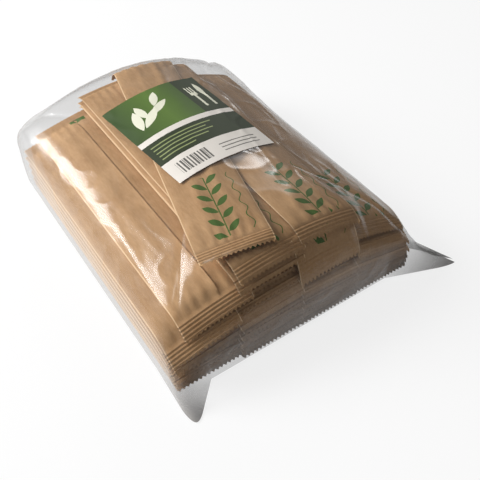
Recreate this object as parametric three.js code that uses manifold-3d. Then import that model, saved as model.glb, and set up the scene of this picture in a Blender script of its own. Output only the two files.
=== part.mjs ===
// A clear film bag of paper-wrapped wooden cutlery sets, lying flat, with a label on top.
// Millimetres. X runs along the front weld, Y from the weld to the back of the bag, Z up.
import * as THREE from "three";
import { mergeVertices } from "three/addons/utils/BufferGeometryUtils.js";
import Module from "manifold-3d";

const wasm = await Module();
wasm.setup();
const mergeTolerance = 1e-4;

// Driving dimensions of one paper sachet
const sachetWidth = 54;
const sachetLength = 258;
const sachetThickness = 5.2; // over the cutlery inside
const paperEdge = 0.5; // the two papers at a long edge and in a crimp
const crimpLength = 11; // the flat sealed strip at each end
const shoulderLength = 20; // from the crimp to full thickness
const flankWidth = 11; // from a long edge to nearly full thickness
const flankFullness = 0.86; // share of the thickness reached at the flank
const seamOffset = 7; // the back seam's free edge, from the middle line
const seamStep = 0.35; // height of that free edge
const toothPitch = 3.3; // zigzag cut of the ends
const toothDepth = 1.7;

// Driving dimensions of the pile
const columnLayers = [11, 13, 13, 11]; // sachets in each column, from the left
const columnLap = 2.5; // thin edges of neighbours lie between each other
const layerGap = 0.5;
const layerSway = 1; // how far a layer sits off the middle, to either side
const swayTurn = THREE.MathUtils.degToRad(190); // angle between the sways of two layers
const endScatter = 3; // how far a sachet's ends stand off the pile's ends
const scatterTurn = THREE.MathUtils.degToRad(113);
const columnTurn = THREE.MathUtils.degToRad(71);
const pileLean = 8; // how much further forward the lowest sachets lie than the top ones
const topSlides = [12, 6, 0, 0]; // how far the top of each column has slid to the right
const slideDepths = [1, 4, 1, 1]; // layers that have slid with it
const frontPokes = [[7, 8], [], [7], []]; // how far the top ones of each column stand out in front

// Two loose sachets on top: one lies straight, the other lies across it
const straightEdge = 5; // left edge of the straight one, from the pile's middle
const straightSetback = 4; // its front end, behind the pile's front
const slantEdge = -11; // front right corner of the slanted one
const slantSetback = 12;
const slantYaw = THREE.MathUtils.degToRad(-13);
const slantRise = 5; // its back end above its front end
const looseLayers = 1.5; // the slanted one lies half a layer above the straight one

// The pile sinks towards its sides, and its thin sealed ends droop
const leftSink = 0.28; // share of the height lost at a side
const rightSink = 0.36;
const endSink = 0.14; // and at an end
const endReach = 30; // length of pile that droops at each end

// Driving dimensions of the film bag
const filmWall = 0.5;
const seatGap = 0.3; // between the floor film and the lowest sachets
const sideClearance = 1.5;
const topClearance = 2;
const filmLeftSink = 0.33; // share of the height that the film loses at a side
const filmRightSink = 0.41;
const frontClearance = 3;
const backClearance = 14; // the empty end of the bag
const frontCorner = 11; // corner radii in plan
const backCorner = 22;
const floorRound = 2.5; // how far the floor contact lies inside the walls
const weldWidth = 2; // flat welded strip along the front
const weldReach = 5.5; // how far round the front corners the strip runs
const toeHeight = 5; // where the front film lifts off the weld
const earRoot = 26; // length of front edge and of side that an ear takes up
const earFullness = 0.75; // below 1 the ear's edges bulge, above 1 they hollow
const earRidge = 10; // height of the fold that runs into an ear
const earWeld = 0.2; // share of an ear's length that is welded flat
const leftEar = new THREE.Vector2(-3, -25); // ear tips, from the corners of the front
const rightEar = new THREE.Vector2(40, -22);
const ventRadius = 3; // air hole in the back film
const ventHeight = 22;
const ventFacets = 12;
const acrossFacets = 12; // facets along the front and the back
const sideFacets = 12;
const cornerFacets = 4;
const ringLevels = [
  { inset: 1, lift: 0.4 },
  { inset: 1, lift: 0.78 },
  { inset: 0.982, lift: 0.95 },
  { inset: 0.94, lift: 1 },
  { inset: 0.82, lift: 1 },
  { inset: 0.64, lift: 1 },
  { inset: 0.42, lift: 1 },
  { inset: 0.2, lift: 1 },
]; // share of the way from the bag's middle to its wall, and of the height there

// Driving dimensions of the label
const labelWidth = 90;
const labelLength = 109;
const labelThickness = 0.3;
const labelGap = 0.3;
const labelCentre = new THREE.Vector2(1, 11); // from the pile's middle
const labelYaw = THREE.MathUtils.degToRad(-2);

// Sizes that follow
const layerPitch = sachetThickness + layerGap;
const columnPitch = sachetWidth - columnLap;
const pileBase = filmWall + seatGap;
const layerCount = Math.max(...columnLayers);
const pileHalfWidth = (columnLayers.length * columnPitch + columnLap) / 2 + layerSway;
const pileHalfLength = sachetLength / 2 + endScatter;
const pileTop = pileBase + (layerCount + looseLayers) * layerPitch;

const film = new THREE.MeshStandardMaterial({
  color: 0xd9d7d6, roughness: 0.12, metalness: 0, transparent: true, opacity: 0.25,
});
const kraft = new THREE.MeshStandardMaterial({ color: 0xc09a6c, roughness: 0.8, metalness: 0 });
const labelPaper = new THREE.MeshStandardMaterial({ color: 0x4a5c2c, roughness: 0.4, metalness: 0 });

const pack = new THREE.Group();

// Height at a place, as a share of the height in the middle
function sinkAt(x, y, left, right) {
  const across = x / pileHalfWidth;
  const along = Math.max(0, Math.abs(y) - pileHalfLength + endReach) / endReach;
  return 1 - (x < 0 ? left : right) * across ** 2 - endSink * along ** 2;
}

function geometryOf(points, faces) {
  const geometry = new THREE.BufferGeometry();
  geometry.setAttribute("position", new THREE.Float32BufferAttribute(points.flat(), 3));
  geometry.setIndex(faces.flat());
  return geometry;
}

function solidOf(geometry) {
  const bare = geometry.clone();
  bare.deleteAttribute("normal");
  bare.deleteAttribute("uv");
  const merged = mergeVertices(bare, mergeTolerance);
  const mesh = new wasm.Mesh({
    numProp: 3,
    vertProperties: new Float32Array(merged.attributes.position.array),
    triVerts: new Uint32Array(merged.index.array),
  });
  return new wasm.Manifold(mesh);
}

function geometryFrom(solid) {
  const mesh = solid.getMesh();
  const geometry = new THREE.BufferGeometry();
  geometry.setAttribute("position", new THREE.Float32BufferAttribute(mesh.vertProperties, 3));
  geometry.setIndex(new THREE.Uint32BufferAttribute(mesh.triVerts, 1));
  return geometry;
}

function addMesh(name, geometry, material) {
  const mesh = new THREE.Mesh(geometry, material);
  mesh.name = name;
  pack.add(mesh);
}

// Faces between two rows of points that run the same way, each row sorted by its x
function bridgeRows(rowA, rowB, points, faces) {
  let a = 0;
  let b = 0;
  while (a < rowA.length - 1 || b < rowB.length - 1) {
    const nextA = a < rowA.length - 1 ? points[rowA[a + 1]][0] : Infinity;
    const nextB = b < rowB.length - 1 ? points[rowB[b + 1]][0] : Infinity;
    if (nextA <= nextB) {
      faces.push([rowA[a], rowA[a + 1], rowB[b]]);
      a += 1;
    } else {
      faces.push([rowA[a], rowB[b + 1], rowB[b]]);
      b += 1;
    }
  }
}

// Places across a sachet, on its back with the seam's step or on its plain front
function crossPlaces(hasSeam) {
  const half = sachetWidth / 2;
  const flank = half - flankWidth;
  const seam = [{ x: seamOffset, step: 0 }, { x: seamOffset + seamStep, step: seamStep }];
  const middle = hasSeam ? seam : [{ x: 0, step: 0 }];
  const right = { x: flank, step: hasSeam ? seamStep : 0, full: flankFullness };
  return [
    { x: -half, step: 0, full: 0 },
    { x: -flank, step: 0, full: flankFullness },
    ...middle.map((place) => ({ ...place, full: 1 })),
    right,
    { x: half, step: 0, full: 0 },
  ];
}

// Places along a sachet, from its front end to its back end
function alongPlaces() {
  const crimp = sachetLength / 2 - crimpLength;
  const shoulder = crimp - shoulderLength;
  return [
    { y: -crimp, full: 0 },
    { y: -shoulder, full: 1 },
    { y: 0, full: 1 },
    { y: shoulder, full: 1 },
    { y: crimp, full: 0 },
  ];
}

// The cut end of a sachet: a zigzag on the ones that show, a straight cut on those below
function endPlaces(side, zigzag) {
  const steps = zigzag ? 2 * Math.round(sachetWidth / toothPitch) : 1;
  return Array.from({ length: steps + 1 }, (unused, i) => ({
    x: -sachetWidth / 2 + (sachetWidth * i) / steps,
    y: side * (sachetLength / 2 - (zigzag && i % 2 === 0 ? toothDepth : 0)),
  }));
}

// One closed sachet about its own middle, back side up
function sachetGeometry(zigzag) {
  const points = [];
  const faces = [];
  const skinRows = [true, false].map((isBack) => {
    const sign = isBack ? 1 : -1;
    const addRow = (row) => row.map((p) => points.push(p) - 1);
    const endRow = (side) =>
      addRow(endPlaces(side, zigzag).map(({ x, y }) => [x, y, (sign * paperEdge) / 2]));
    const bodyRows = alongPlaces().map((along) =>
      addRow(
        crossPlaces(isBack).map((cross) => {
          const full = along.full * cross.full;
          const height = paperEdge / 2 + (full * (sachetThickness - paperEdge)) / 2;
          return [cross.x, along.y, sign * (height - cross.step * full)];
        }),
      ),
    );
    return [endRow(-1), ...bodyRows, endRow(1)];
  });
  const [back, front] = skinRows;
  for (let i = 0; i < back.length - 1; i += 1) {
    bridgeRows(back[i], back[i + 1], points, faces);
    bridgeRows(front[i + 1], front[i], points, faces);
    const leftEdge = [back[i][0], back[i + 1][0], front[i + 1][0], front[i][0]];
    const rightEdge = [front[i], front[i + 1], back[i + 1], back[i]].map((row) => row.at(-1));
    [leftEdge, rightEdge].forEach(([p, q, r, s]) => faces.push([p, q, r], [p, r, s]));
  }
  bridgeRows(front[0], back[0], points, faces);
  bridgeRows(back.at(-1), front.at(-1), points, faces);
  return geometryOf(points, faces);
}

// A sachet laid in the flat pile and sunk with the pile
function laidSachet({ x, y, z, yaw = 0, rise = 0, backUp, zigzag }) {
  const geometry = sachetGeometry(zigzag);
  if (!backUp) geometry.rotateY(Math.PI);
  const slope = rise / sachetLength;
  const place = geometry.attributes.position;
  for (let i = 0; i < place.count; i += 1) {
    const along = place.getY(i);
    place.setZ(i, place.getZ(i) + z + slope * (along + sachetLength / 2));
  }
  geometry.rotateZ(yaw);
  geometry.translate(x, y, 0);
  for (let i = 0; i < place.count; i += 1) {
    const sink = sinkAt(place.getX(i), place.getY(i), leftSink, rightSink);
    place.setZ(i, pileBase + (place.getZ(i) - pileBase) * sink);
  }
  return geometry;
}

// Middle height of a layer in the flat pile: every other column lies half a layer higher
function layerHeight(layer) {
  return pileBase + sachetThickness / 2 + layer * layerPitch;
}

function pileSachets() {
  const sachets = [];
  columnLayers.forEach((layers, column) => {
    for (let layer = 0; layer < layers; layer += 1) {
      const fromTop = layers - 1 - layer;
      const columnMiddle = (column - (columnLayers.length - 1) / 2) * columnPitch;
      const slide = fromTop < slideDepths[column] ? topSlides[column] : 0;
      const lean = (pileLean * fromTop) / (layers - 1);
      const poke = frontPokes[column][fromTop] ?? 0;
      sachets.push({
        x: columnMiddle + layerSway * Math.sin(swayTurn * layer) + slide,
        y: endScatter * Math.sin(scatterTurn * layer + columnTurn * column) - lean - poke,
        z: layerHeight(layer + (column % 2) / 2),
        backUp: fromTop === 0 ? column === 0 : layer % 2 === 0,
        zigzag: fromTop === 0 || (fromTop === 1 && column === 0),
      });
    }
  });
  return sachets;
}

function looseSachets() {
  const toMiddle = new THREE.Vector2(-sachetWidth / 2, sachetLength / 2);
  toMiddle.rotateAround(new THREE.Vector2(), slantYaw);
  const straight = {
    x: straightEdge + sachetWidth / 2,
    y: straightSetback - endScatter,
    z: layerHeight(layerCount),
    rise: 0,
  };
  const slanted = {
    x: slantEdge + toMiddle.x,
    y: slantSetback - pileHalfLength + toMiddle.y,
    z: layerHeight(layerCount + looseLayers - 1),
    yaw: slantYaw,
    rise: slantRise,
  };
  return [straight, slanted].map((sachet) => ({ ...sachet, backUp: false, zigzag: true }));
}

// A corner radius of the bag, no larger than the pile's corner leaves room for
function fittedCorner(radius, endClearance) {
  const room = sideClearance + endClearance;
  return Math.min(radius, room + filmWall + Math.sqrt(2 * sideClearance * endClearance));
}

// Plan of the bag's wall, drawn in by a distance, anticlockwise from the front left corner
function wallPlan(inset) {
  const half = pileHalfWidth + sideClearance + filmWall - inset;
  const front = -pileHalfLength - pileLean - frontClearance - filmWall + inset;
  const back = pileHalfLength + backClearance + filmWall - inset;
  const rf = fittedCorner(frontCorner, frontClearance) - inset;
  const rb = fittedCorner(backCorner, backClearance) - inset;
  const arcs = [
    { x: -half + rf, y: front + rf, radius: rf, turn: Math.PI, facets: acrossFacets },
    { x: half - rf, y: front + rf, radius: rf, turn: -Math.PI / 2, facets: sideFacets },
    { x: half - rb, y: back - rb, radius: rb, turn: 0, facets: acrossFacets },
    { x: -half + rb, y: back - rb, radius: rb, turn: Math.PI / 2, facets: sideFacets },
  ];
  const onArc = ({ x, y, radius, turn }, share) => {
    const angle = turn + (share * Math.PI) / 2;
    return new THREE.Vector2(x + radius * Math.cos(angle), y + radius * Math.sin(angle));
  };
  const points = [];
  arcs.forEach((arc, i) => {
    const nextStart = onArc(arcs[(i + 1) % arcs.length], 0);
    for (let k = 0; k < cornerFacets; k += 1) points.push(onArc(arc, k / cornerFacets));
    for (let k = 0; k < arc.facets; k += 1) {
      points.push(onArc(arc, 1).lerp(nextStart, k / arc.facets));
    }
  });
  const corners = [new THREE.Vector2(-half, front), new THREE.Vector2(half, front)];
  return { points, corners, front };
}

// How strongly an ear pulls a point of the wall's plan, and where to
function earPull(point, corners) {
  const pulls = [leftEar, rightEar].map((ear, i) => {
    const share = Math.max(0, 1 - point.distanceTo(corners[i]) / earRoot) ** earFullness;
    return { share, reach: ear.clone().multiplyScalar(share) };
  });
  return pulls[0].share > pulls[1].share ? pulls[0] : pulls[1];
}

// A closed skin of the bag, drawn in from the outer face by a distance: a floor with the
// front weld and the ears, a toe where the film lifts off, the walls and the crowned top
function bagSkin(inset) {
  const { points: wall, corners, front } = wallPlan(inset);
  const middle = new THREE.Vector2(0, (front + pileHalfLength + backClearance) / 2);
  const heightAt = (p) => {
    const slant = THREE.MathUtils.clamp(p.y / sachetLength + 0.5, 0, 1) * slantRise;
    const sink = sinkAt(p.x, p.y, filmLeftSink, filmRightSink);
    return filmWall + topClearance - inset + (pileTop + slant) * sink;
  };
  const points = [];
  const addRing = (ring) => ring.map((p) => points.push(p) - 1);
  const isOuter = inset === 0;
  const floorRing = wall.map((p) => {
    const { share, reach } = earPull(p, corners);
    const weld = isOuter ? weldWidth : 0;
    const onFront = p.y < front + weldReach;
    const foot = p.clone().sub(middle).setLength(onFront ? weld : -floorRound * (1 - share));
    return p.clone().add(foot).addScaledVector(reach, isOuter ? 1 : 1 - earWeld * share);
  });
  const floorHeights = isOuter ? [0, 2 * filmWall] : [inset];
  const rings = floorHeights.map((z) => addRing(floorRing.map((p) => [p.x, p.y, z])));
  const toe = wall.map((p) => [p.x, p.y, toeHeight - inset + earRidge * earPull(p, corners).share]);
  rings.push(addRing(toe));
  ringLevels.forEach(({ inset: share, lift }) => {
    const ring = wall.map((p, i) => {
      const q = middle.clone().lerp(p, share);
      const rise = heightAt(q) * lift;
      return [q.x, q.y, Math.max(rise, toe[i][2] + toeHeight)];
    });
    rings.push(addRing(ring));
  });
  const faces = [];
  const floorMiddle = points.push([middle.x, middle.y, inset]) - 1;
  const topMiddle = points.push([middle.x, middle.y, heightAt(middle)]) - 1;
  for (let i = 0; i < wall.length; i += 1) {
    const j = (i + 1) % wall.length;
    faces.push([floorMiddle, rings[0][j], rings[0][i]]);
    faces.push([topMiddle, rings.at(-1)[i], rings.at(-1)[j]]);
    for (let r = 0; r < rings.length - 1; r += 1) {
      faces.push([rings[r][i], rings[r][j], rings[r + 1][j]]);
      faces.push([rings[r][i], rings[r + 1][j], rings[r + 1][i]]);
    }
  }
  return solidOf(geometryOf(points, faces));
}

function ventSolid() {
  const hole = new THREE.CylinderGeometry(ventRadius, ventRadius, backClearance, ventFacets);
  hole.translate(0, pileHalfLength + backClearance, ventHeight);
  return solidOf(hole);
}

function addBag(outerSkin) {
  const bag = outerSkin.subtract(bagSkin(filmWall)).subtract(ventSolid());
  addMesh("bag", geometryFrom(bag), film);
}

// The label lies on the film: a slice of the bag's own top surface, lifted by the gap
function addLabel(outerSkin) {
  const cutter = new THREE.BoxGeometry(labelWidth, labelLength, pileTop);
  cutter.rotateZ(labelYaw);
  cutter.translate(labelCentre.x, labelCentre.y, pileTop);
  const over = outerSkin.translate([0, 0, labelGap + labelThickness]);
  const under = outerSkin.translate([0, 0, labelGap]);
  addMesh("label", geometryFrom(over.subtract(under).intersect(solidOf(cutter))), labelPaper);
}

const outerSkin = bagSkin(0);
addBag(outerSkin);
addLabel(outerSkin);
[...pileSachets(), ...looseSachets()].forEach((sachet, i) => {
  addMesh(`sachet_${String(i + 1).padStart(2, "0")}`, laidSachet(sachet), kraft);
});

// The origin is under the middle of the whole pack
const box = new THREE.Box3().setFromObject(pack);
const middle = box.getCenter(new THREE.Vector3());
pack.position.set(-middle.x, -middle.y, -box.min.z);

export default pack;
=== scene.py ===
# Dresses the CAD frame of a film bag of wooden cutlery sets: kraft sachets, clear film and a label.
import math

import bpy
import numpy as np
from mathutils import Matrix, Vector, noise
from mathutils.bvhtree import BVHTree


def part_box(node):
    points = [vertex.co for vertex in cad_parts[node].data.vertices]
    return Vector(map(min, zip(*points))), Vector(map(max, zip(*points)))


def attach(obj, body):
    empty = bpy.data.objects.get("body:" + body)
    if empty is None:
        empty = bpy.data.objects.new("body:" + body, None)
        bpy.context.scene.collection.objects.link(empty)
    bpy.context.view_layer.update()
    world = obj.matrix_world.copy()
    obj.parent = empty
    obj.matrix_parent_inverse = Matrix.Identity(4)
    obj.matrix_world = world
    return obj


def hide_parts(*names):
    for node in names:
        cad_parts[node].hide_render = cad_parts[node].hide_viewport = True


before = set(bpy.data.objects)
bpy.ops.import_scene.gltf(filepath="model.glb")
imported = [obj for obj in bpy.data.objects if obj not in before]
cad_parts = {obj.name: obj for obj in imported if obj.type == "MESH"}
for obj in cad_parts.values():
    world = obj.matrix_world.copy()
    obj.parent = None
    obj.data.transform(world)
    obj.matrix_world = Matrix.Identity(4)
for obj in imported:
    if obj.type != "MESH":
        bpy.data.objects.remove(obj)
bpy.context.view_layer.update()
mm = 0.001
sachetNames = sorted(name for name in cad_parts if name.startswith("sachet_"))
print("frame loaded with", len(sachetNames), "sachets")


def linearColour(hexText):  # sRGB hex to the linear values that a socket takes
    parts = [int(hexText[i:i + 2], 16) / 255 for i in (1, 3, 5)]
    return (*[p / 12.92 if p <= 0.04045 else ((p + 0.055) / 1.055) ** 2.4 for p in parts], 1.0)


def addNode(tree, kind, settings):  # one node: a socket given as a value is linked, the rest is set
    node = tree.nodes.new(kind)
    for key, value in settings.items():
        if isinstance(key, str) and key not in node.inputs:
            setattr(node, key, value)
        elif isinstance(value, bpy.types.NodeSocket):
            tree.links.new(value, node.inputs[key])
        else:
            node.inputs[key].default_value = value
    return node


def startMaterial(name):
    material = bpy.data.materials.new(name)
    material.use_nodes = True
    material.node_tree.nodes.clear()
    return material, material.node_tree


def smoothStep(x):
    x = np.clip(x, 0, 1)
    return x * x * (3 - 2 * x)


def crumple(points, size, seed):  # smooth noise with folds about this far apart
    return np.array([noise.noise(Vector(p)) for p in points / size + seed])


def getPoints(mesh):
    points = np.empty(len(mesh.vertices) * 3)
    mesh.vertices.foreach_get("co", points)
    return points.reshape(-1, 3)


def setPoints(mesh, points):
    mesh.vertices.foreach_set("co", points.astype(np.float32).ravel())
    mesh.update()


def addGrid(name, columns, rows):  # a flat grid from -1 to 1, alone in the selection
    bpy.ops.object.select_all(action="DESELECT")
    bpy.ops.mesh.primitive_grid_add(x_subdivisions=columns, y_subdivisions=rows, size=2)
    bpy.context.object.name = name
    return bpy.context.object


def gridPlaces(points, columnPlaces, rowPlaces):  # moves a grid's lines to the given places
    column = np.rint((points[:, 0] + 1) / 2 * (len(columnPlaces) - 1)).astype(int)
    row = np.rint((points[:, 1] + 1) / 2 * (len(rowPlaces) - 1)).astype(int)
    return np.asarray(columnPlaces)[column], np.asarray(rowPlaces)[row]


def dress(piece, node, material):
    piece.data.materials.clear()
    piece.data.materials.append(material)
    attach(piece, "root")
    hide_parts(node)


# Print colours, shared by the sachets and the label
ink = {
    "leaf": "#4b6a2a",
    "deep": "#28321b",
    "mid": "#34491f",
    "fresh": "#57722f",
    "pale": "#d6d0c8",
    "cream": "#d9d8c4",
    "line": "#8b9564",
    "bar": "#5a5853",
}


def paint(tree, under, mask, colour):  # lays a printed colour over what is there
    mix = addNode(tree, "ShaderNodeMix", {
        "data_type": "RGBA",
        7: linearColour(colour),
        0: mask,
        6: under,
    })
    return mix.outputs[2]


def printedBlock(tree, u, v, centre, size):  # 1 inside a rectangle
    inU = addNode(tree, "ShaderNodeMath", {
        "operation": "COMPARE",
        0: u,
        1: centre[0],
        2: size[0] / 2,
    }).outputs[0]
    inV = addNode(tree, "ShaderNodeMath", {
        "operation": "COMPARE",
        0: v,
        1: centre[1],
        2: size[1] / 2,
    }).outputs[0]
    return addNode(tree, "ShaderNodeMath", {"operation": "MULTIPLY", 0: inU, 1: inV}).outputs[0]


def printedLeaf(tree, u, v, root, length, width, turn):  # 1 inside a leaf that grows from its root
    across, along = math.cos(turn), math.sin(turn)
    du = addNode(tree, "ShaderNodeMath", {"operation": "SUBTRACT", 0: u, 1: root[0]}).outputs[0]
    dv = addNode(tree, "ShaderNodeMath", {"operation": "SUBTRACT", 0: v, 1: root[1]}).outputs[0]
    a = addNode(tree, "ShaderNodeMath", {
        "operation": "MULTIPLY_ADD",
        0: du,
        1: across,
        2: addNode(tree, "ShaderNodeMath", {"operation": "MULTIPLY", 0: dv, 1: along}).outputs[0],
    }).outputs[0]
    p = addNode(tree, "ShaderNodeMath", {
        "operation": "MULTIPLY_ADD",
        0: dv,
        1: across,
        2: addNode(tree, "ShaderNodeMath", {"operation": "MULTIPLY", 0: du, 1: -along}).outputs[0],
    }).outputs[0]
    fromMiddle = addNode(tree, "ShaderNodeMath", {
        "operation": "MULTIPLY_ADD",
        0: a,
        1: 2 / length,
        2: -1.0,
    }).outputs[0]
    edge = addNode(tree, "ShaderNodeMath", {
        "operation": "MULTIPLY_ADD",
        0: addNode(tree, "ShaderNodeMath", {
            "operation": "MULTIPLY",
            0: fromMiddle,
            1: fromMiddle,
        }).outputs[0],
        1: -width / 2,
        2: width / 2,
    }).outputs[0]
    return addNode(tree, "ShaderNodeMath", {
        "operation": "LESS_THAN",
        0: addNode(tree, "ShaderNodeMath", {"operation": "ABSOLUTE", 0: p}).outputs[0],
        1: edge,
    }).outputs[0]


# Sachets: one is modelled in full for the top of the pile and one plainly for the rest
sachet = {
    "width": 54 * mm,
    "length": 258 * mm,
    "halfThickness": 2.6 * mm,
    "paper": 0.3 * mm,
    "crimp": 11 * mm,  # flat sealed strip at each end
    "ridges": 5,  # pressed ridges across a crimp
    "ridgeHeight": 0.3 * mm,
    "teeth": 16,
    "toothDepth": 1.7 * mm,
    "shoulder": 24 * mm,  # from the crimp to full thickness
    "seamAt": 7 * mm,  # free edge of the back seam
    "seamStep": 1.5 * mm,
    "pleat": 0.8 * mm,  # gathers next to a crimp
    "pleatPitch": 8 * mm,
    "relief": 0.9 * mm,  # knife and fork showing through
    "crumple": 0.55 * mm,
    "crease": 0.4 * mm,  # sharp folds
    "knife": (-8 * mm, 5 * mm, 70 * mm, 30 * mm),  # middle, half width, end and taper of its relief
    "fork": (9 * mm, 4 * mm, -95 * mm, 40 * mm),
    "slide": {  # backwards
        "sachet_34": 8 * mm,
        "sachet_35": 9 * mm,
        "sachet_36": 9 * mm,
        "sachet_37": -13 * mm,
    },
    "hang": {"sachet_37": (24 * mm, 50)},  # length of a hanging front end, and degrees down
    "settle": {"sachet_50": 4 * mm},  # how far the back end comes down
    "sag": 4 * mm,  # of the front end of a low sachet
    "sagLength": 45 * mm,
    "forward": 12 * mm,  # most that a low sachet slides up to the front of the bag
    "fine": {"sachet_10", "sachet_11", "sachet_24", "sachet_37", "sachet_48", "sachet_49", "sachet_50"},
    "backUp": {"sachet_10", "sachet_11"},
}


def sachetRows(crimpSteps, bodySteps):  # from the front cut to the back cut
    half = sachet["length"] / 2
    cut = half - sachet["toothDepth"] - sachet["paper"]
    seal = half - sachet["crimp"]
    crimpRows = np.linspace(-cut, -seal, crimpSteps + 1)
    bodyRows = np.linspace(-seal, seal, bodySteps + 1)[1:-1]
    return np.concatenate([[-half], crimpRows, bodyRows, -crimpRows[::-1], [half]])


def sachetColumns():  # two per tooth, and one more for the seam's edge
    columns = np.linspace(-0.5, 0.5, 2 * sachet["teeth"] + 1) * sachet["width"]
    beside = np.argmin(np.abs(columns - sachet["seamAt"]))
    columns[beside] = sachet["seamAt"] - sachet["paper"] / 4
    return np.sort(np.append(columns, sachet["seamAt"] + sachet["paper"] / 4))


def sachetFullness(x, y):  # 0 at the edges and crimps, 1 over the cutlery
    across = np.clip(1 - np.abs(2 * x / sachet["width"]) ** 3, 0, 1) ** 0.7
    fromCrimp = sachet["length"] / 2 - sachet["crimp"] - np.abs(y)
    return across * smoothStep(fromCrimp / sachet["shoulder"])


def shapeSkin(skin, side, rows):
    columns = sachetColumns()
    flat = getPoints(skin.data)
    x, y = gridPlaces(flat, columns, rows)
    half = sachet["length"] / 2
    isCut = np.isclose(np.abs(y), half)
    tooth = np.abs(np.mod((x / sachet["width"] + 0.5) * sachet["teeth"], 1) * 2 - 1)
    onEdge = isCut | np.isclose(np.abs(x), sachet["width"] / 2)
    inCrimp = np.clip((half - np.abs(y)) / sachet["crimp"], 0, 1)
    ridge = sachet["ridgeHeight"] * np.sin(2 * np.pi * sachet["ridges"] * inCrimp) * (inCrimp < 1)
    full = sachetFullness(x, y)
    z = side * (np.where(onEdge, 0, sachet["paper"] / 2) + full * sachet["halfThickness"])
    if side < 0:
        z = np.where(x > sachet["seamAt"], z, z - sachet["seamStep"] * np.clip(full * 4, 0, 1))
    z = z + np.where(isCut, 0, ridge)
    y = np.where(isCut, np.sign(y) * (half - sachet["toothDepth"] * tooth), y)
    setPoints(skin.data, np.stack([x, y, z], axis=1))
    loops = np.empty(len(skin.data.loops), dtype=int)
    skin.data.loops.foreach_get("vertex_index", loops)
    backShift = 2 if side < 0 else 0  # the back's print lies beside the front's
    printPlace = np.stack([x / sachet["width"] + 0.5 + backShift, y / sachet["length"] + 0.5], axis=1)
    skin.data.uv_layers[0].data.foreach_set("uv", printPlace[loops].astype(np.float32).ravel())


def modelSachet(name, crimpSteps, bodySteps):
    rows = sachetRows(crimpSteps, bodySteps)
    skins = []
    for side in (1, -1):
        skin = addGrid(name, len(sachetColumns()) - 1, len(rows) - 1)
        shapeSkin(skin, side, rows)
        skins.append(skin)
    front, back = skins
    front.select_set(True)
    back.select_set(True)
    bpy.context.view_layer.objects.active = front
    bpy.ops.object.join()
    bpy.ops.object.mode_set(mode="EDIT")
    bpy.ops.mesh.select_all(action="SELECT")
    bpy.ops.mesh.remove_doubles(threshold=0.01 * mm)
    bpy.ops.mesh.normals_make_consistent(inside=False)
    bpy.ops.object.mode_set(mode="OBJECT")
    bpy.ops.object.shade_smooth_by_angle(angle=math.radians(50))
    return front


pileLow = np.min([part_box(name)[0] for name in sachetNames], axis=0)
pileHigh = np.max([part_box(name)[1] for name in sachetNames], axis=0)
pileMiddle = (pileLow + pileHigh) / 2
pileReach = (pileHigh - pileLow) / 2


def bagWalls():  # the CAD bag's walls in plan, and the tips of its ears
    points = getPoints(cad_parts["bag"].data)
    waist = points[(points[:, 2] > 20 * mm) & (points[:, 2] < 50 * mm)]
    tips = points[np.argmin(points[:, 1])][:2], points[np.argmax(points[:, 0])][:2]
    return waist[:, :2].min(axis=0), waist[:, :2].max(axis=0), tips


droopLength = 30 * mm  # the pile's ends sag over this length
filmFront = bagWalls()[0][1] + 0.4 * mm


def lieBasis(x, y, plan):  # the ways in which a sachet can lie bent
    past = np.maximum(0, np.abs(plan[:, 1] - pileMiddle[1]) - pileReach[1] + droopLength)
    droop = (past / droopLength) ** 2
    return np.stack([np.ones_like(x), x, x * x, y, x * y, x * x * y, droop, droop * x], axis=1)


def solidFrame(name):  # middle, directions and size in plan of a CAD node
    points = np.unique(np.round(getPoints(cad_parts[name].data), 6), axis=0)
    plan = points[:, :2] - points[:, :2].mean(axis=0)
    along = np.linalg.eigh(plan.T @ plan)[1][:, 1]
    along = along * np.sign(along[1])
    across = np.array([along[1], -along[0]])
    onAxes = points[:, :2] @ np.stack([across, along], axis=1)
    low, high = onAxes.min(axis=0), onAxes.max(axis=0)
    middle = (low + high) / 2
    return points, middle[0] * across + middle[1] * along, across, along, onAxes - middle, high - low


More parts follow.
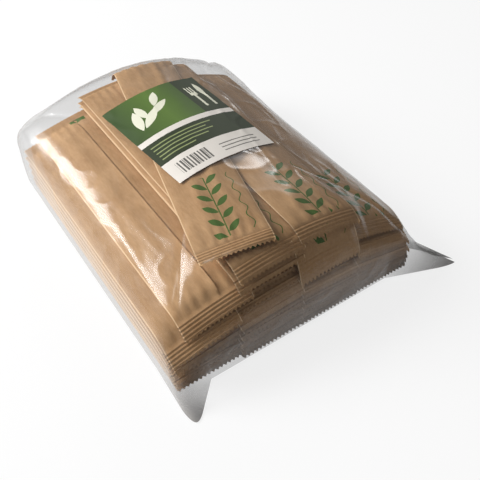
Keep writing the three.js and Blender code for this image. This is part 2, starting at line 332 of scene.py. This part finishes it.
def laySachet(name, master, number):  # copies a model onto its CAD solid, bent as that lies
    points, centre, across, along, local, size = solidFrame(name)
    basis = lieBasis(local[:, 0], local[:, 1], points)
    fit = np.linalg.lstsq(basis, points[:, 2], rcond=None)[0]
    waist = (points[:, 2] - basis @ fit)[np.abs(local[:, 1]) < size[1] / 4]
    squeeze = np.ptp(waist) / (2 * sachet["halfThickness"])
    piece = master.copy()
    piece.data = master.data.copy()
    piece.name = "kraft_" + name
    bpy.context.collection.objects.link(piece)
    x, y, z = getPoints(piece.data).T
    full = sachetFullness(x, y)
    if name in sachet["fine"]:
        seed = number * 7.3
        flat = np.stack([x, y * 0.5, np.sign(z) * 40 * mm], axis=1)
        fromCrimp = sachet["length"] / 2 - sachet["crimp"] - np.abs(y)
        gather = np.exp(-np.maximum(fromCrimp, 0) / (14 * mm)) * smoothStep(fromCrimp / (4 * mm))
        wander = crumple(flat, 30 * mm, seed)
        pleat = np.sin(2 * np.pi * x / sachet["pleatPitch"] + 5 * wander) * gather
        middle, halfWidth, end, taper = sachet["knife"]
        knife = np.exp(-(((x - middle) / halfWidth) ** 2)) * smoothStep((end - y) / taper)
        middle, halfWidth, end, taper = sachet["fork"]
        fork = np.exp(-(((x - middle) / halfWidth) ** 2)) * smoothStep((y - end) / taper)
        bump = sachet["crumple"] * (crumple(flat, 22 * mm, seed + 3) + 0.5 * crumple(flat, 9 * mm, seed + 5))
        ridge = np.clip(1 - np.abs(crumple(flat * (1, 0.6, 1), 24 * mm, seed + 9)) * 7, 0, 1)
        bump = bump + sachet["crease"] * ridge
        z = z + full * (bump + np.sign(z) * sachet["relief"] * (knife + fork - 0.6))
        z = z + sachet["pleat"] * pleat * np.clip(1 - np.abs(2 * x / sachet["width"]) ** 4, 0, 1)
    isBackUp = name in sachet["backUp"] if name in sachet["fine"] else number % 2 == 0
    if isBackUp:
        y, z = -y, -z
    plan = centre + np.outer(x, across) + np.outer(y, along)
    height = lieBasis(x, y, plan) @ fit + z * squeeze
    height = height - sachet["settle"].get(name, 0) * np.clip(2 * y / sachet["length"], 0, 1) ** 1.5
    if name in sachet["hang"]:
        reach, angle = sachet["hang"][name]
        past = np.maximum(0, reach - sachet["length"] / 2 - y)
        plan[:, 1] += past * (1 - math.cos(math.radians(angle)))
        height = height - past * math.sin(math.radians(angle)) * (1 - 0.5 * x / sachet["width"])
    plan[:, 1] += sachet["slide"].get(name, 0)
    if height.mean() < pileMiddle[2]:
        share = 1 if centre[0] > pileLow[0] + sachet["width"] else 0.5  # the left column lies further back
        plan[:, 1] -= share * np.clip(plan[:, 1].min() - filmFront, 0, sachet["forward"])
        ending = np.clip((plan[:, 1].min() - plan[:, 1]) / sachet["sagLength"] + 1, 0, 1) ** 2
        sag = np.clip(height[ending > 0.9].min() - 0.4 * mm, 0, sachet["sag"])
        height = height - sag * ending
    setPoints(piece.data, np.column_stack([plan, np.maximum(height, 0.3 * mm)]))
    return piece


def kraftPaper():
    # Unbleached machine-glazed kraft: warm brown, matt, with long fibres that give faint streaks
    material, tree = startMaterial("unbleached kraft paper")
    place = addNode(tree, "ShaderNodeTexCoord", {})
    stretch = addNode(tree, "ShaderNodeMapping", {"Scale": (1, 0.25, 1), 0: place.outputs["Object"]})
    fibre = addNode(tree, "ShaderNodeTexNoise", {
        "Scale": 1 / (2.2 * mm),
        "Detail": 6.0,
        "Roughness": 0.7,
        0: stretch.outputs[0],
    })
    cloud = addNode(tree, "ShaderNodeTexNoise", {
        "Scale": 1 / (45 * mm),
        "Detail": 3.0,
        0: place.outputs["Object"],
    })
    tone = addNode(tree, "ShaderNodeMath", {
        "operation": "MULTIPLY_ADD",
        0: fibre.outputs[0],
        1: 0.5,
        2: addNode(tree, "ShaderNodeMath", {
            "operation": "MULTIPLY",
            0: cloud.outputs[0],
            1: 0.5,
        }).outputs[0],
    }).outputs[0]
    ramp = addNode(tree, "ShaderNodeValToRGB", {0: tone})
    ramp.color_ramp.elements[0].position = 0.32
    ramp.color_ramp.elements[0].color = linearColour("#a37c52")
    ramp.color_ramp.elements[1].position = 0.68
    ramp.color_ramp.elements[1].color = linearColour("#c8a176")
    # print lies in millimetres from the middle of the front, and the back's starts two widths on
    uv = addNode(tree, "ShaderNodeSeparateXYZ", {0: place.outputs["UV"]})
    width, length = sachet["width"] / mm, sachet["length"] / mm
    u = addNode(tree, "ShaderNodeMath", {
        "operation": "MULTIPLY_ADD",
        0: uv.outputs[0],
        1: width,
        2: -width / 2,
    }).outputs[0]
    v = addNode(tree, "ShaderNodeMath", {
        "operation": "MULTIPLY_ADD",
        0: uv.outputs[1],
        1: length,
        2: -length / 2,
    }).outputs[0]
    colour = ramp.outputs[0]
    sprigMiddle, sprigLength, leafPitch, leafLength, leafWidth = -85, 58, 12, 12.5, 5
    side = addNode(tree, "ShaderNodeMath", {"operation": "SIGN", 0: u}).outputs[0]
    step = addNode(tree, "ShaderNodeMath", {
        "operation": "WRAP",
        0: addNode(tree, "ShaderNodeMath", {
            "operation": "MULTIPLY_ADD",
            0: side,
            1: leafPitch / 4,
            2: v,
        }).outputs[0],
        1: leafPitch,
        2: 0.0,
    }).outputs[0]
    outward = addNode(tree, "ShaderNodeMath", {"operation": "ABSOLUTE", 0: u}).outputs[0]
    leaf = printedLeaf(tree, step, outward, (0.6, 0.5), leafLength, leafWidth, math.radians(52))
    stem = addNode(tree, "ShaderNodeMath", {"operation": "COMPARE", 0: u, 1: 0.0, 2: 0.45}).outputs[0]
    sprig = addNode(tree, "ShaderNodeMath", {"operation": "MAXIMUM", 0: leaf, 1: stem}).outputs[0]
    sprig = addNode(tree, "ShaderNodeMath", {
        "operation": "MULTIPLY",
        0: sprig,
        1: addNode(tree, "ShaderNodeMath", {
            "operation": "COMPARE",
            0: v,
            1: sprigMiddle,
            2: sprigLength / 2,
        }).outputs[0],
    }).outputs[0]
    sprig = addNode(tree, "ShaderNodeMath", {
        "operation": "MULTIPLY",
        0: sprig,
        1: addNode(tree, "ShaderNodeMath", {"operation": "COMPARE", 0: u, 1: 0.0, 2: 12.0}).outputs[0],
    }).outputs[0]
    sway = addNode(tree, "ShaderNodeMath", {
        "operation": "SINE",
        0: addNode(tree, "ShaderNodeMath", {
            "operation": "MULTIPLY",
            0: v,
            1: 2 * math.pi / 14,
        }).outputs[0],
    }).outputs[0]
    vine = addNode(tree, "ShaderNodeMath", {
        "operation": "COMPARE",
        0: addNode(tree, "ShaderNodeMath", {
            "operation": "MULTIPLY_ADD",
            0: sway,
            1: -1.6,
            2: u,
        }).outputs[0],
        1: 18.0,
        2: 0.4,
    }).outputs[0]
    vine = addNode(tree, "ShaderNodeMath", {
        "operation": "MULTIPLY",
        0: vine,
        1: addNode(tree, "ShaderNodeMath", {
            "operation": "COMPARE",
            0: v,
            1: sprigMiddle,
            2: sprigLength / 2,
        }).outputs[0],
    }).outputs[0]
    # painted highlight: the kraft is painted paler within 0.7 mm of each long edge, standing in for light
    # caught by the folded paper edges
    fromFold = addNode(tree, "ShaderNodeMath", {
        "operation": "ABSOLUTE",
        0: addNode(tree, "ShaderNodeMath", {
            "operation": "WRAP",
            0: u,
            1: width / 2,
            2: -width / 2,
        }).outputs[0],
    }).outputs[0]
    fold = addNode(tree, "ShaderNodeMath", {
        "operation": "COMPARE",
        0: fromFold,
        1: width / 2,
        2: 0.7,
    }).outputs[0]
    colour = paint(tree, colour, fold, "#dcbb92")  # painted highlight: a paler line along the long edges where they catch the light
    mark = printedBlock(tree, u, v, (width * 2 + 9, 14 - length / 2), (14, 5))
    for motif in (sprig, vine, mark):
        colour = paint(tree, colour, motif, ink["leaf"])
    grain = addNode(tree, "ShaderNodeBump", {
        "Strength": 0.25,
        "Distance": 0.05 * mm,
        "Height": fibre.outputs[0],
    })
    paper = addNode(tree, "ShaderNodeBsdfPrincipled", {
        "Roughness": 0.72,
        "IOR": 1.45,
        "Specular IOR Level": 0.3,
        "Base Color": colour,
        "Normal": grain.outputs[0],
    })
    addNode(tree, "ShaderNodeOutputMaterial", {0: paper.outputs[0]})
    return material


fineSachet = modelSachet("fine_sachet", 30, 90)
plainSachet = modelSachet("plain_sachet", 10, 16)
kraft = kraftPaper()
laidSachets = {}
for number, name in enumerate(sachetNames, start=1):
    model = fineSachet if name in sachet["fine"] else plainSachet
    laidSachets[name] = laySachet(name, model, number)
    dress(laidSachets[name], name, kraft)
for model in (fineSachet, plainSachet):
    bpy.data.objects.remove(model, do_unlink=True)
print("sachets laid:", len(laidSachets))


# Film bag: a sheet lofted over the pile, drawn down on it, and closed by a flat floor sheet
film = {
    "across": 230,
    "along": 290,
    "squareness": (5.0, 9.0),  # of the section at the front and the back: 2 is an ellipse
    "frontCorner": 11 * mm,
    "backCorner": 24 * mm,
    "flatShare": 0.92,  # share of the plan that the CAD top gives the height of
    "earRoot": 27 * mm,
    "earFullness": 1.0,
    "earLift": 38 * mm,  # height from which the film runs out into an ear
    "gap": 1.0 * mm,  # over the sachets
    "easing": 60,
    "smoothing": 10,
    "relaxing": 1500,
    "wrinkle": 0.28 * mm,
    "wrinkleSize": 28 * mm,
    "streak": 0.55 * mm,  # long wrinkles on the right of the label
    "streakSize": 15 * mm,
    "streakFrom": 22 * mm,
    "tautFrom": (6 * mm, 10 * mm),  # the film is drawn down from here inside the pile's sides and front
    "tautTo": (6 * mm, 16 * mm),  # and up to here inside its right side and back
    "tautRamp": 14 * mm,
}
# Creases in the film, in millimetres: where each starts and ends, its height and its half width
creases = [
    ((-98, 14, 69), (-92, -90, 70), 0.9, 5),
    ((-104, 1, 65), (-108, -122, 52), 0.9, 6),
    ((-82, -92, 73), (-93, -134, 44), 1.0, 6),
    ((-108, -122, 51), (-109, -137, 28), 1.0, 5),
    ((28, -43, 80), (56, -66, 68), 1.0, 3),
    ((30, -50, 79), (44, -95, 72), 1.0, 3),
    ((30, -57, 78), (26, -108, 76), 1.0, 3),
    ((-83, -132, 52), (-83, -137, 14), 0.8, 4),
]


def sectionCurve(ring, squareness):  # plan share and lift, evenly spaced down to the floor
    turn = np.linspace(0, np.pi / 2, 4000)
    share = np.sin(turn) ** (2 / squareness)
    lift = np.cos(turn) ** (2 / squareness)
    steps = np.hypot(np.diff(share) * 1.6, np.diff(lift))
    arc = np.concatenate([[0], np.cumsum(steps)])
    return np.interp(ring, arc / arc[-1], share), np.interp(ring, arc / arc[-1], lift)


def treeOf(meshObject):
    mesh = meshObject.data
    corners = [vertex.co.copy() for vertex in mesh.vertices]
    return BVHTree.FromPolygons(corners, [tuple(face.vertices) for face in mesh.polygons])


def heightsOver(tree, plan, missing):  # height of a surface under each place
    heights = np.full(len(plan), missing)
    for i, (x, y) in enumerate(plan):
        hit = tree.ray_cast(Vector((x, y, 1.0)), Vector((0, 0, -1)))[0]
        if hit is not None:
            heights[i] = hit.z
    return heights


def pileHeights(plan):  # top of the highest sachet under each place
    heights = np.zeros(len(plan))
    for piece in laidSachets.values():
        corners = getPoints(piece.data)
        low, high = corners.min(axis=0), corners.max(axis=0)
        if high[2] < 0.5 * pileHigh[2]:
            continue
        inside = np.all((plan > low[:2]) & (plan < high[:2]), axis=1)
        found = heightsOver(treeOf(piece), plan[inside], 0.0)
        heights[inside] = np.maximum(heights[inside], found)
    return heights


def wrinkleFilm(mesh):  # moves the film along its normals into wrinkles and creases
    points = getPoints(mesh)
    normals = np.empty(len(points) * 3)
    mesh.vertex_normals.foreach_get("vector", normals)
    wave = crumple(points * (1, 0.6, 1), film["wrinkleSize"], 11.0)
    fold = 1 - np.abs(crumple(points * (1, 0.7, 1), film["wrinkleSize"] * 0.7, 31.0)) * 3
    depth = film["wrinkle"] * (wave + np.clip(fold, 0, 1) ** 2)
    streak = np.clip(1 - np.abs(crumple(points * (1, 0.22, 0.5), film["streakSize"], 51.0)) * 4, 0, 1) ** 2
    onRight = smoothStep(points[:, 0] / film["streakFrom"] - 0.3) * smoothStep(points[:, 2] / (30 * mm) - 1)
    depth = depth + film["streak"] * streak * onRight
    for start, end, height, width in creases:
        start, end = np.array(start) * mm, np.array(end) * mm
        run = end - start
        along = np.clip((points - start) @ run / (run @ run), 0, 1)
        away = np.linalg.norm(points - start - np.outer(along, run), axis=1) / (width * mm)
        swell = np.sin(np.pi * np.clip(along, 0.05, 0.95))
        depth = depth + height * mm * np.clip(1 - away, 0, 1) ** 1.5 * swell
    depth = depth * smoothStep(points[:, 2] / (12 * mm))
    setPoints(mesh, points + normals.reshape(-1, 3) * depth[:, None])


def buildFilm():
    low, high, tips = bagWalls()
    middle, reach = (low + high) / 2, (high - low) / 2
    sheet = addGrid("film_bag", film["across"], film["along"])
    s, t = getPoints(sheet.data)[:, :2].T
    ring = np.maximum(np.abs(s), np.abs(t))
    safe = np.maximum(ring, 1e-9)
    edge = np.stack([s / safe, t / safe], axis=1) * reach
    radius = np.where(t < 0, film["frontCorner"], film["backCorner"])[:, None]
    past = np.abs(edge) - (reach - radius)
    inCorner = np.all(past > 0, axis=1)
    away = np.maximum(np.linalg.norm(past, axis=1), 1e-9)[:, None]
    rounded = np.sign(edge) * (reach - radius + radius * past / away)
    edge = np.where(inCorner[:, None], rounded, edge)
    backward = smoothStep(t / safe)
    share, lift = [front + (back - front) * backward for front, back in
                   zip(*[sectionCurve(ring, squareness) for squareness in film["squareness"]])]
    plan = middle + edge * share[:, None]
    flat = middle + edge * np.minimum(share, film["flatShare"])[:, None]
    top = heightsOver(treeOf(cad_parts["bag"]), flat, 0.0)
    z = top * lift
    # draw the top down on the sachets: a taut sheet that rests on what is below it
    shape = (film["along"] + 1, film["across"] + 1)
    under = (pileHeights(plan) + film["gap"]).reshape(shape)
    inward = smoothStep((plan - pileLow[:2] - film["tautFrom"]) / film["tautRamp"])
    inward = inward * smoothStep((pileHigh[:2] - film["tautTo"] - plan) / film["tautRamp"])
    hold = np.prod(inward, axis=1).reshape(shape)
    loft = np.maximum(z.reshape(shape), under)
    for step in range(film["easing"]):
        loft[1:-1, 1:-1] = (loft[:-2, 1:-1] + loft[2:, 1:-1] + loft[1:-1, :-2] + loft[1:-1, 2:]) / 4
        loft = np.maximum(loft, np.maximum(z.reshape(shape), under))
    taut = loft
    for step in range(film["relaxing"]):
        mean = taut.copy()
        mean[1:-1, 1:-1] = (taut[:-2, 1:-1] + taut[2:, 1:-1] + taut[1:-1, :-2] + taut[1:-1, 2:]) / 4
        taut = np.maximum(loft + (mean - loft) * hold, under)
    for step in range(film["smoothing"]):  # film bridges the small creases in the paper
        taut[1:-1, 1:-1] = (taut[:-2, 1:-1] + taut[2:, 1:-1] + taut[1:-1, :-2] + taut[1:-1, 2:]) / 4
    z = taut.ravel()
    # run the front corners out into flat ears
    corners = [middle + reach * (-1, -1), middle + reach * (1, -1)]
    ear = np.zeros(len(z))
    for corner, tip in zip(corners, tips):
        near = np.clip(1 - np.linalg.norm(middle + edge - corner, axis=1) / film["earRoot"], 0, 1)
        corner = (middle + edge)[np.argmax(near)]
        pull = near ** film["earFullness"] * np.clip(1 - z / film["earLift"], 0, 1) ** 1.8
        top = (near ** film["earFullness"]).max()
        plan = plan + np.outer(pull / top, tip - corner)
        ear = np.maximum(ear, pull / top)
    z = z * (1 - 0.8 * ear)
    setPoints(sheet.data, np.column_stack([plan, z]))
    wrinkleFilm(sheet.data)
    doubled = sheet.data.attributes.new("doubled", "FLOAT", "POINT")
    doubled.data.foreach_set("value", ear.astype(np.float32))
    bpy.ops.object.mode_set(mode="EDIT")
    bpy.ops.mesh.select_all(action="DESELECT")
    bpy.ops.mesh.select_mode(type="EDGE")
    bpy.ops.mesh.select_non_manifold()
    bpy.ops.mesh.fill(use_beauty=True)
    bpy.ops.mesh.select_all(action="SELECT")
    bpy.ops.mesh.normals_make_consistent(inside=False)
    bpy.ops.object.mode_set(mode="OBJECT")
    bpy.ops.object.shade_smooth_by_angle(angle=math.radians(60))
    return sheet


def clearFilm():
    # Cast polypropylene film: clear, glossy both sides, faintly milky, greyer where two sheets lie together
    material, tree = startMaterial("clear polypropylene film")
    facing = addNode(tree, "ShaderNodeLayerWeight", {"Blend": 0.5})
    rim = addNode(tree, "ShaderNodeMath", {
        "operation": "POWER",
        0: facing.outputs["Facing"],
        1: 3.0,
    }).outputs[0]
    gloss = addNode(tree, "ShaderNodeMath", {
        "operation": "MULTIPLY_ADD",
        0: rim,
        1: 0.5,
        2: 0.016,
    }).outputs[0]
    doubled = addNode(tree, "ShaderNodeAttribute", {"attribute_name": "doubled"})
    milk = addNode(tree, "ShaderNodeMath", {
        "operation": "MULTIPLY_ADD",
        0: rim,
        1: 0.6,
        2: addNode(tree, "ShaderNodeMath", {
            "operation": "MULTIPLY_ADD",
            0: doubled.outputs["Fac"],
            1: 0.75,
            2: 0.03,
        }).outputs[0],
    }).outputs[0]
    clear = addNode(tree, "ShaderNodeBsdfTransparent", {0: linearColour("#f2f2f2")})
    haze = addNode(tree, "ShaderNodeBsdfDiffuse", {0: linearColour("#9a9794")})
    sheen = addNode(tree, "ShaderNodeBsdfGlossy", {"Color": linearColour("#ffffff"), "Roughness": 0.2})
    body = addNode(tree, "ShaderNodeMixShader", {0: milk, 1: clear.outputs[0], 2: haze.outputs[0]})
    both = addNode(tree, "ShaderNodeMixShader", {0: gloss, 1: body.outputs[0], 2: sheen.outputs[0]})
    addNode(tree, "ShaderNodeOutputMaterial", {0: both.outputs[0]})
    return material


filmBag = buildFilm()
dress(filmBag, "bag", clearFilm())
print("film drawn over the pile:", len(filmBag.data.vertices), "points")


# Label: coated paper stuck on the film, printed with plain fields, in millimetres from its front left corner
label = {
    "size": (90 * mm, 109 * mm),
    "across": 60,
    "along": 72,
    "thickness": 0.2 * mm,
    "gap": 0.15 * mm,
    "shift": (2 * mm, 9 * mm),  # from the CAD label, as the film lies lower
    "turn": 10,  # degrees
    "fields": [  # ink, middle, size
        ("mid", (45, 82.5), (90, 53)),
        ("deep", (45, 37), (90, 26)),
        ("deep", (78, 82.5), (24, 53)),
    ],
    "lines": [(5 + 0.5 * run, 45 - 4 * i, run) for i, run in enumerate((56, 49, 53, 46, 31))],
    "sprig": [  # root, length, width and turn in degrees of each leaf
        ((13, 66), 26, 8, 78),
        ((16, 67), 27, 8, 40),
        ((24, 76), 20, 7, 95),
        ((28, 77), 24, 7, 30),
        ((36, 86), 20, 7, 60),
    ],
}


def buildLabel():
    centre, across, along = solidFrame("label")[1:4]
    sheet = addGrid("paper_label", label["across"], label["along"])
    x, y = (getPoints(sheet.data)[:, :2] * label["size"] / 2).T
    turn = math.radians(label["turn"])
    cosine, sine = math.cos(turn), math.sin(turn)
    across, along = cosine * across + sine * along, cosine * along - sine * across
    plan = centre + label["shift"] + np.outer(x, across) + np.outer(y, along)
    below = heightsOver(treeOf(filmBag), plan, 0.0)
    basis = np.stack([x ** i * y ** j for i in range(4) for j in range(4) if i + j < 5], axis=1)
    smooth = basis @ np.linalg.lstsq(basis, below, rcond=None)[0]
    height = np.maximum(smooth, below) + label["gap"]
    setPoints(sheet.data, np.column_stack([plan, height]))
    solid = sheet.modifiers.new("thickness", "SOLIDIFY")
    solid.thickness = label["thickness"]
    solid.offset = 1
    bpy.ops.object.modifier_apply(modifier=solid.name)
    bpy.ops.object.shade_smooth_by_angle(angle=math.radians(40))
    return sheet


def labelPaper():
    # Coated label paper: smooth, half-gloss, with solid offset inks
    material, tree = startMaterial("coated label paper")
    place = addNode(tree, "ShaderNodeTexCoord", {})
    uv = addNode(tree, "ShaderNodeSeparateXYZ", {0: place.outputs["UV"]})
    u = addNode(tree, "ShaderNodeMath", {
        "operation": "MULTIPLY",
        0: uv.outputs[0],
        1: label["size"][0] / mm,
    }).outputs[0]
    v = addNode(tree, "ShaderNodeMath", {
        "operation": "MULTIPLY",
        0: uv.outputs[1],
        1: label["size"][1] / mm,
    }).outputs[0]
    colour = linearColour(ink["pale"])
    for tint, centre, block in label["fields"]:
        colour = paint(tree, colour, printedBlock(tree, u, v, centre, block), ink[tint])
    glow = addNode(tree, "ShaderNodeMath", {
        "operation": "MULTIPLY_ADD",
        0: addNode(tree, "ShaderNodeMath", {
            "operation": "ABSOLUTE",
            0: addNode(tree, "ShaderNodeMath", {"operation": "SUBTRACT", 0: u, 1: 40.0}).outputs[0],
        }).outputs[0],
        1: -1 / 40,
        2: 0.9,
    }).outputs[0]
    glow = addNode(tree, "ShaderNodeMath", {
        "operation": "MULTIPLY",
        0: addNode(tree, "ShaderNodeMath", {"operation": "MAXIMUM", 0: glow, 1: 0.0}).outputs[0],
        1: printedBlock(tree, u, v, (33, 82.5), (66, 53)),
    }).outputs[0]
    colour = paint(tree, colour, glow, ink["fresh"])
    for middle, level, run in label["lines"]:
        colour = paint(tree, colour, printedBlock(tree, u, v, (middle, level), (run, 1.1)), ink["line"])
    for root, reach, breadth, turn in label["sprig"]:
        leaf = printedLeaf(tree, u, v, root, reach, breadth, math.radians(turn))
        colour = paint(tree, colour, leaf, ink["cream"])
    cutlery = printedLeaf(tree, u, v, (83, 78), 22, 5, math.pi / 2)  # knife blade, then the rest
    for centre, block in [((83, 72), (2.4, 16)), ((74, 73), (2.2, 18)), ((74, 84), (6.4, 4)),
                          ((71.4, 90), (1.2, 10)), ((74, 90), (1.2, 10)), ((76.6, 90), (1.2, 10))]:
        cutlery = addNode(tree, "ShaderNodeMath", {
            "operation": "MAXIMUM",
            0: cutlery,
            1: printedBlock(tree, u, v, centre, block),
        }).outputs[0]
    colour = paint(tree, colour, cutlery, ink["cream"])
    wide = addNode(tree, "ShaderNodeMath", {
        "operation": "COMPARE",
        0: addNode(tree, "ShaderNodeMath", {"operation": "WRAP", 0: u, 1: 3.1, 2: 0.0}).outputs[0],
        1: 0.8,
        2: 0.6,
    }).outputs[0]
    thin = addNode(tree, "ShaderNodeMath", {
        "operation": "COMPARE",
        0: addNode(tree, "ShaderNodeMath", {"operation": "WRAP", 0: u, 1: 2.3, 2: 0.0}).outputs[0],
        1: 1.0,
        2: 0.3,
    }).outputs[0]
    bars = addNode(tree, "ShaderNodeMath", {
        "operation": "MULTIPLY",
        0: addNode(tree, "ShaderNodeMath", {"operation": "MAXIMUM", 0: wide, 1: thin}).outputs[0],
        1: printedBlock(tree, u, v, (22, 12), (28, 13)),
    }).outputs[0]
    colour = paint(tree, colour, bars, ink["bar"])
    for level in (15, 11, 7):
        colour = paint(tree, colour, printedBlock(tree, u, v, (64, level), (34, 1.0)), ink["bar"])
    paper = addNode(tree, "ShaderNodeBsdfPrincipled", {
        "Roughness": 0.55,
        "IOR": 1.5,
        "Base Color": colour,
    })
    addNode(tree, "ShaderNodeOutputMaterial", {0: paper.outputs[0]})
    return material


dress(buildLabel(), "label", labelPaper())
print("label laid on the film")


# Floor, light and camera
studio = {
    "floor": 6.0,
    "cameraPlace": (-208.6 * mm, -334.7 * mm, 379.6 * mm),
    "cameraDown": 46.38,  # degrees below level
    "cameraHeading": 34.14,  # degrees to the right of the pack's length
    "focal": 47.31,  # millimetres on a 36 mm sensor
    "fill": 0.17,
}
softBoxes = [
    {"name": "key", "place": (-1.28, 1.0, 0.95), "size": (0.9, 0.9), "power": 58},
    {"name": "top", "place": (-0.25, -0.05, 1.2), "size": (0.12, 0.3), "power": 2},
    {"name": "back", "place": (1.08, 1.1, 0.92), "size": (0.25, 0.25), "power": 3},
]


def buildStudio():
    bpy.ops.object.select_all(action="DESELECT")
    bpy.ops.mesh.primitive_plane_add(size=studio["floor"], location=(0, 0, -0.4 * mm))
    floor = bpy.context.object
    floor.name = "studio_floor"
    material, tree = startMaterial("white paper sweep")
    ray = addNode(tree, "ShaderNodeLightPath", {})
    seen = addNode(tree, "ShaderNodeMath", {
        "operation": "MAXIMUM",
        0: ray.outputs["Is Camera Ray"],
        1: ray.outputs["Is Glossy Ray"],
    }).outputs[0]
    seen = addNode(tree, "ShaderNodeMath", {
        "operation": "MAXIMUM",
        0: seen,
        1: ray.outputs["Is Transmission Ray"],
    }).outputs[0]
    matt = addNode(tree, "ShaderNodeBsdfDiffuse", {0: linearColour("#e6e6e6")})
    white = addNode(tree, "ShaderNodeEmission", {"Color": linearColour("#ffffff"), "Strength": 1.0})
    share = addNode(tree, "ShaderNodeMath", {"operation": "MULTIPLY", 0: seen, 1: 0.8}).outputs[0]
    both = addNode(tree, "ShaderNodeMixShader", {0: share, 1: matt.outputs[0], 2: white.outputs[0]})
    addNode(tree, "ShaderNodeOutputMaterial", {0: both.outputs[0]})
    floor.data.materials.append(material)
    for box in softBoxes:
        bpy.ops.object.light_add(type="AREA", location=box["place"])
        lamp = bpy.context.object
        lamp.name = "soft box " + box["name"]
        lamp.data.shape = "RECTANGLE"
        lamp.data.size, lamp.data.size_y = box["size"]
        lamp.data.energy = box["power"]
        lamp.rotation_euler = (-Vector(box["place"])).to_track_quat("-Z", "Y").to_euler()
    world = bpy.data.worlds.new("studio")
    bpy.context.scene.world = world
    world.use_nodes = True
    tree = world.node_tree
    tree.nodes.clear()
    ray = addNode(tree, "ShaderNodeLightPath", {})
    level = addNode(tree, "ShaderNodeMath", {
        "operation": "MULTIPLY_ADD",
        0: ray.outputs["Is Camera Ray"],
        1: 1 - studio["fill"],
        2: studio["fill"],
    }).outputs[0]
    sky = addNode(tree, "ShaderNodeBackground", {"Color": linearColour("#ffffff"), "Strength": level})
    addNode(tree, "ShaderNodeOutputWorld", {0: sky.outputs[0]})
    bpy.ops.object.camera_add(location=studio["cameraPlace"])
    camera = bpy.context.object
    turn = (90 - studio["cameraDown"], 0, -studio["cameraHeading"])
    camera.rotation_euler = [math.radians(angle) for angle in turn]
    camera.data.lens = studio["focal"]
    camera.data.sensor_width = 36
    camera.data.clip_start = 0.01
    bpy.context.scene.camera = camera
    bpy.context.scene.view_settings.view_transform = "Standard"


buildStudio()
print("studio set")
